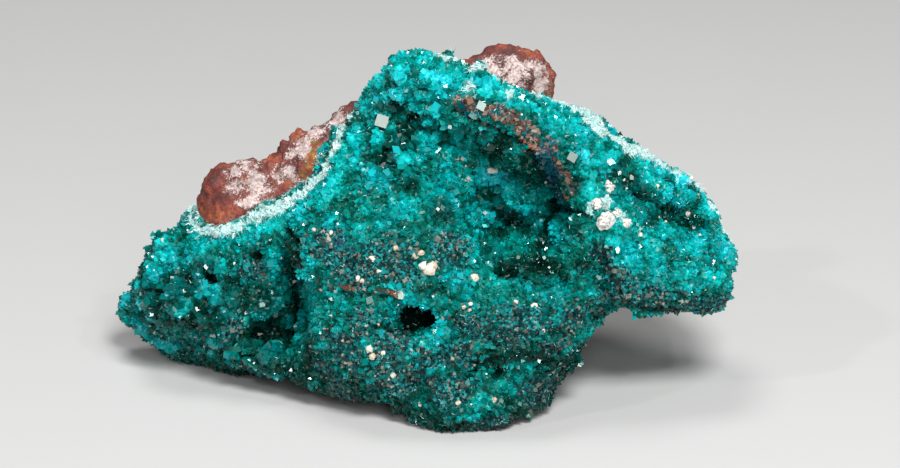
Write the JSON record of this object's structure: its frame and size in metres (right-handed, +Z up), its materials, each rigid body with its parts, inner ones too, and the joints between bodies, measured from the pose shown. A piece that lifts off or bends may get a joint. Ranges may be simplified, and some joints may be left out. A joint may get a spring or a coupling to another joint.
{
  "type": "dioptase specimen",
  "caption": "Hand specimen of dioptase: a blue-green crystal druse with crystal-lined hollows, grown over rusty matrix rock, for display on a flat surface.",
  "frame": {"origin": "middle of the base of the bounding box, on the surface that the specimen rests on", "axes": "+Z up, +X along the length to the specimen's right, -Y towards the crystal-covered front"},
  "size_m": [0.051, 0.0262, 0.0277],
  "materials": {
    "dioptase_crust": "glassy crystals with sparkle, translucent at the edges",
    "hollow_crystals": "glassy crystals, deep green",
    "matrix": "rough and rusty, with white powder and ochre patches"
  },
  "bodies": {
    "root": {"dioptase_crust": "dioptase_crust", "centre_hollow_crystals": "hollow_crystals", "lobe_hollow_crystals": "hollow_crystals", "matrix": "matrix"}
  },
  "joints": []
}
